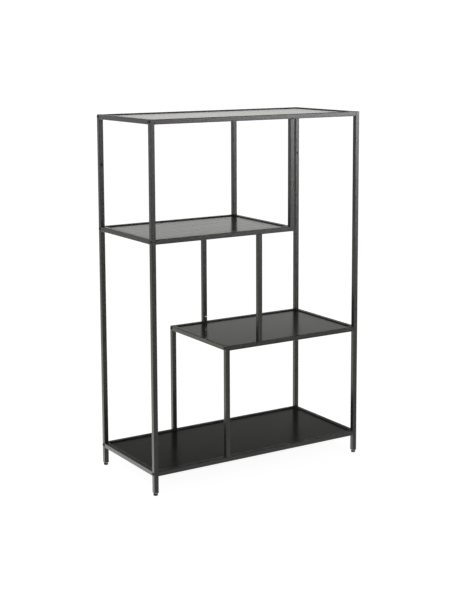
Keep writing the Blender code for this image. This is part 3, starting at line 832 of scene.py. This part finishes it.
class BOOKCASE_OT_welds(bpy.types.Operator):
    """Run fillet welds across the tube ends of each end frame and divider frame"""

    bl_idname = "bookcase.welds"
    bl_label = "Welds"

    def execute(self, context):
        tubes = context.scene.bookcase_tubes
        width = tube_width()
        bead_length = width - 2 * tubes.corner
        bead = fillet_weld(tubes.weld, bead_length)
        patches = []
        # a bead runs above and below each end of a rail, except where the uprights end
        for node_name in cross_rails():
            open_above = not (node_name.endswith("_top") or node_name == "lower_divider_rail")
            open_below = node_name != "upper_divider_rail"
            for up in [1] * open_above + [-1] * open_below:
                for corner, outward in zip(tube_run(node_name, "Y"), (1, -1)):
                    along = -up * outward
                    origin = (corner.x - along * bead_length / 2, corner.y - outward * GAP,
                              corner.z + up * width / 2)
                    patches += placed([bead], origin, (along, 0, 0), (0, 0, up))
        steel_piece(context, "frame_welds", patches, crease=50.0)
        return {"FINISHED"}


class BOOKCASE_OT_boards(bpy.types.Operator):
    """Build the four ash-grained boards with softened edges"""

    bl_idname = "bookcase.boards"
    bl_label = "Boards"

    def execute(self, context):
        boards = context.scene.bookcase_boards
        ash = bpy.data.materials.get("black_ash_laminate") or ash_laminate(boards)
        for level in LEVELS:
            low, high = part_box(f"board_{level}")
            centre = (low + high) / 2
            size = high - low
            board = bar(size.z / 2, size.y / 2, size.x, boards.edge, boards.edge, 4, 4)
            patches = placed([board], (low.x, centre.y, centre.z), (1, 0, 0), (0, 0, 1))
            make_piece(f"ash_board_{level}", patches, ash, "bookcase_frame",
                       [f"board_{level}"])
        return {"FINISHED"}


class BOOKCASE_OT_board_screws(bpy.types.Operator):
    """Drive the pan-head screws up through the tabs into the boards"""

    bl_idname = "bookcase.board_screws"
    bl_label = "Board Screws"

    def execute(self, context):
        boards = context.scene.bookcase_boards
        width = tube_width()
        screw = pan_screw(boards.screw_head / 2, boards.screw_head_height, boards.screw_shank,
                          boards.screw_length, pointed=True)
        for node_name, start, finish, inward in long_rails():
            low = start.z - width / 2 + boards.tab_rise
            y = start.y + inward * (width / 2 + boards.tab_reach / 2)
            patches = []
            for x in tab_places(start.x, finish.x, boards):
                patches += placed([screw], (x, y, low), (0, 0, -1), (1, 0, 0))
            make_piece(f"board_screws_{node_name}", patches, zinc(context), "bookcase_frame")
        return {"FINISHED"}


class BOOKCASE_OT_bolts(bpy.types.Operator):
    """Build the button-head bolts that hold the long rails to the uprights"""

    bl_idname = "bookcase.bolts"
    bl_label = "Frame Bolts"

    def execute(self, context):
        fixings = context.scene.bookcase_fixings
        for node_name in sorted(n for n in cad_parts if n.startswith("bolt_")):
            low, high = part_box(node_name)
            centre = (low + high) / 2
            head_left = "left" in node_name or "lower_divider" in node_name
            head_x, tip_x, outward = (low.x, high.x, -1) if head_left else (high.x, low.x, 1)
            seat_x = head_x - outward * fixings.head_height
            bolt = button_bolt((high.z - low.z) / 2, fixings, abs(tip_x - seat_x))
            patches = placed([bolt], (seat_x, centre.y, centre.z), (outward, 0, 0), (0, 0, 1))
            make_piece(f"button_{node_name}", patches, black_oxide(context),
                       "bookcase_frame", [node_name])
        return {"FINISHED"}


class BOOKCASE_OT_lock_screws(bpy.types.Operator):
    """Build the zinc screws that lock the middle posts to their stubs, and finish the stubs"""

    bl_idname = "bookcase.lock_screws"
    bl_label = "Locking Screws"

    def execute(self, context):
        fixings = context.scene.bookcase_fixings
        for end in ENDS:
            node_name = f"middle_post_lock_screw_{end}"
            low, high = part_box(node_name)
            centre = (low + high) / 2
            head_y, tip_y, outward = (high.y, low.y, 1) if end == "front" else (low.y, high.y, -1)
            seat_y = head_y - outward * fixings.lock_head
            screw = pan_screw((high.z - low.z) / 2, fixings.lock_head, fixings.lock_shank,
                              abs(tip_y - seat_y), pointed=False)
            patches = placed([screw], (centre.x, seat_y, centre.z), (0, outward, 0), (0, 0, 1))
            make_piece(f"pan_head_{node_name}", patches, zinc(context),
                       "bookcase_frame", [node_name])
            stub_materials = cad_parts[f"middle_post_stub_{end}"].data.materials
            stub_materials.clear()
            stub_materials.append(zinc(context))
        return {"FINISHED"}


class BOOKCASE_OT_feet(bpy.types.Operator):
    """Build the levelling feet: ribbed pads, and studs with a hexagon and a cut thread"""

    bl_idname = "bookcase.feet"
    bl_label = "Levelling Feet"

    def execute(self, context):
        fixings = context.scene.bookcase_fixings
        plastic = bpy.data.materials.get("moulded_black_plastic") or moulded_plastic(fixings)
        for corner in CORNERS:
            pad_low, pad_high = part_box(f"foot_pad_{corner}")
            centre = (pad_low + pad_high) / 2
            pad = foot_pad((pad_high.x - pad_low.x) / 2, pad_high.z - pad_low.z, fixings)
            make_piece(f"ribbed_pad_{corner}", [patch(pad + np.array((centre.x, centre.y, pad_low.z)))],
                       plastic, f"foot_base_{corner}", [f"foot_pad_{corner}"])
            low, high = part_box(f"foot_stud_{corner}")
            stud = foot_stud(pad_high.z + fixings.foot_gap - low.z, high.z - low.z, fixings)
            make_piece(f"threaded_stud_{corner}", [patch(stud + np.array((centre.x, centre.y, low.z)))],
                       zinc(context), f"foot_screw_{corner}", [f"foot_stud_{corner}"])
        return {"FINISHED"}


class BOOKCASE_OT_studio(bpy.types.Operator):
    """Lay the pale floor, hang the soft lights and set up the camera"""

    bl_idname = "bookcase.studio"
    bl_label = "Studio"

    def execute(self, context):
        studio = context.scene.bookcase_studio
        half = studio.floor_size / 2
        corners = [(-half, -half, 0), (half, -half, 0), (half, half, 0), (-half, half, 0)]
        mesh = bpy.data.meshes.new("floor")
        mesh.from_pydata(corners, [], [(0, 1, 2, 3)])
        floor = bpy.data.objects.new("floor", mesh)
        context.scene.collection.objects.link(floor)
        material, tree, shader = blank_material("pale_floor")
        pale = tuple(studio.floor_color)
        mottled = tint(tree, noise(tree, stretched_coordinates(tree), 0.7), shade(pale, 0.99), pale)
        tree.links.new(mottled, shader.inputs["Base Color"])
        shader.inputs["Roughness"].default_value = 0.9
        shader.inputs["Specular IOR Level"].default_value = 0.0
        shader.inputs["Emission Color"].default_value = (1.0, 1.0, 1.0, 1.0)
        shader.inputs["Emission Strength"].default_value = studio.floor_glow
        mesh.materials.append(material)
        floor.visible_glossy = False
        self.light_room(context)
        self.set_camera(context, studio)
        context.scene.view_settings.view_transform = "Standard"
        return {"FINISHED"}

    @staticmethod
    def light_room(context):
        """Soft surroundings: the camera sees plain white, and all other light comes from a sum of glows.

        Each glow fades in and out with elevation and with azimuth.
        """
        world = bpy.data.worlds.new("soft_room")
        world.use_nodes = True
        context.scene.world = world
        tree = world.node_tree
        background = tree.nodes["Background"]
        where = tree.nodes.new("ShaderNodeTexCoord").outputs["Generated"]
        height = node(tree, "ShaderNodeSeparateXYZ", Vector=where).outputs["Z"]
        elevation = node(tree, "ShaderNodeMath", "ARCSINE", _0=height).outputs["Value"]
        level = node(tree, "ShaderNodeVectorMath", "MULTIPLY", _0=where, _1=(1.0, 1.0, 0.0))
        heading = node(tree, "ShaderNodeVectorMath", "NORMALIZE", _0=level.outputs["Vector"])
        room = None
        for azimuth, half_width, rise, fall, color in ROOM_LIGHTS:
            turn = math.radians(azimuth)
            facing = node(tree, "ShaderNodeVectorMath", "DOT_PRODUCT", _0=heading.outputs["Vector"],
                          _1=(math.sin(turn), math.cos(turn), 0.0)).outputs["Value"]
            inner, outer = (math.cos(math.radians(half_width * share)) for share in (0.5, 1.5))
            low, full, full_end, end = (math.radians(angle) for angle in (*rise, *fall))
            across = span(tree, facing, outer, inner, 0.0, 1.0, smooth=True)
            upward = span(tree, elevation, low, full, 0.0, 1.0, smooth=True)
            downward = span(tree, elevation, full_end, end, 1.0, 0.0, smooth=True)
            amount = product(tree, product(tree, upward, downward), across)
            glow = node(tree, "ShaderNodeVectorMath", "SCALE", _0=color, Scale=amount).outputs["Vector"]
            if room is None:
                room = glow
            else:
                room = node(tree, "ShaderNodeVectorMath", "ADD", _0=room, _1=glow).outputs["Vector"]
        tree.links.new(room, background.inputs["Color"])
        plain = node(tree, "ShaderNodeBackground", Color=(1.05, 1.05, 1.05, 1.0))
        seen = tree.nodes.new("ShaderNodeLightPath").outputs["Is Camera Ray"]
        choose = node(tree, "ShaderNodeMixShader", Fac=seen, _1=background.outputs["Background"],
                      _2=plain.outputs["Background"])
        tree.links.new(choose.outputs["Shader"], tree.nodes["World Output"].inputs["Surface"])

    @staticmethod
    def set_camera(context, studio):
        """Camera at its distance from the aim, looking along its azimuth and down by its elevation."""
        data = bpy.data.cameras.new("view")
        camera = bpy.data.objects.new("view", data)
        context.scene.collection.objects.link(camera)
        level = math.cos(studio.elevation)
        forward = Vector((math.sin(studio.azimuth) * level, math.cos(studio.azimuth) * level,
                          -math.sin(studio.elevation)))
        camera.location = Vector(studio.aim) - forward * studio.distance
        camera.rotation_mode = "QUATERNION"
        turn = forward.to_track_quat("-Z", "Y")
        camera.rotation_quaternion = turn @ Euler((0, 0, studio.roll)).to_quaternion()
        data.lens = studio.lens
        data.sensor_width = 36.0
        data.shift_y = studio.shift
        context.scene.camera = camera


# Glows of the room: azimuth from straight back towards the right and half width, elevations between
# which the glow rises and falls, all in degrees, and colour times strength
ROOM_LIGHTS = (
    # behind, to the right: a bright horizon that fades upwards, and light from below it
    (33, 60, (-15, -3), (-3, 3), (0.50, 0.52, 0.70)),
    (33, 60, (-3, 3), (3, 9), (1.45, 1.43, 1.36)),
    (33, 60, (3, 9), (9, 15), (0.75, 0.75, 0.73)),
    (33, 60, (9, 15), (15, 21), (0.20, 0.20, 0.18)),
    (45, 60, (-90, -89), (-21, -9), (1.40, 1.40, 1.40)),
    # behind, to the left: a pale floor, a dark band, the horizon and a dim upper wall
    (-38, 45, (-90, -89), (-21, -15), (2.10, 2.10, 2.05)),
    (-38, 45, (-21, -15), (-15, -9), (1.40, 1.40, 1.10)),
    (-38, 45, (-15, -9), (-9, -3), (0.30, 0.30, 0.20)),
    (-38, 45, (-9, -3), (-3, 3), (0.80, 0.78, 0.70)),
    (-38, 45, (-3, 3), (12, 20), (0.17, 0.19, 0.22)),
    (-38, 45, (12, 20), (50, 80), (0.45, 0.45, 0.45)),
    # in front, to the right: a pale floor, and two narrow panels at the horizon
    (145, 45, (-90, -89), (-21, -15), (1.00, 1.00, 1.10)),
    (145, 45, (-21, -15), (-15, -9), (0.40, 0.40, 0.15)),
    (160, 18, (-9, -3), (-3, 3), (1.30, 1.25, 1.15)),
    (190, 15, (-20, -10), (10, 20), (1.20, 1.20, 1.20)),
    (136, 10, (-4, 0), (1, 4), (28.0, 28.0, 29.0)),
    (135, 45, (0, 6), (30, 60), (0.30, 0.30, 0.30)),
    # in front, to the left, and overhead: even dim light for the other sides
    (225, 30, (-90, -89), (30, 60), (0.80, 0.80, 0.80)),
    (0, 180, (45, 70), (90, 91), (0.40, 0.40, 0.40)),
)

STEPS = (
    BOOKCASE_OT_posts, BOOKCASE_OT_side_rails, BOOKCASE_OT_long_rails, BOOKCASE_OT_dividers,
    BOOKCASE_OT_welds, BOOKCASE_OT_boards, BOOKCASE_OT_board_screws, BOOKCASE_OT_bolts,
    BOOKCASE_OT_lock_screws, BOOKCASE_OT_feet, BOOKCASE_OT_studio,
)
GROUPS = {
    "bookcase_tubes": BookcaseTubes,
    "bookcase_boards": BookcaseBoards,
    "bookcase_fixings": BookcaseFixings,
    "bookcase_studio": BookcaseStudio,
}


class BOOKCASE_PT_panel(bpy.types.Panel):
    """Sidebar panel with every step and its sizes"""

    bl_idname = "BOOKCASE_PT_panel"
    bl_label = "Bookcase"
    bl_space_type = "VIEW_3D"
    bl_region_type = "UI"
    bl_category = "Bookcase"

    def draw(self, context):
        for step in STEPS:
            self.layout.operator(step.bl_idname)
        for name, group in GROUPS.items():
            box = self.layout.box()
            for prop in group.__annotations__:
                box.prop(getattr(context.scene, name), prop)


def register():
    for group in GROUPS.values():
        bpy.utils.register_class(group)
    for step in STEPS:
        bpy.utils.register_class(step)
    bpy.utils.register_class(BOOKCASE_PT_panel)
    for name, group in GROUPS.items():
        setattr(bpy.types.Scene, name, PointerProperty(type=group))


def unregister():
    for name in GROUPS:
        delattr(bpy.types.Scene, name)
    bpy.utils.unregister_class(BOOKCASE_PT_panel)
    for step in reversed(STEPS):
        bpy.utils.unregister_class(step)
    for group in GROUPS.values():
        bpy.utils.unregister_class(group)


def main():
    register()
    for step in STEPS:
        group, action = step.bl_idname.split(".")
        getattr(getattr(bpy.ops, group), action)()


if __name__ == "__main__":
    main()
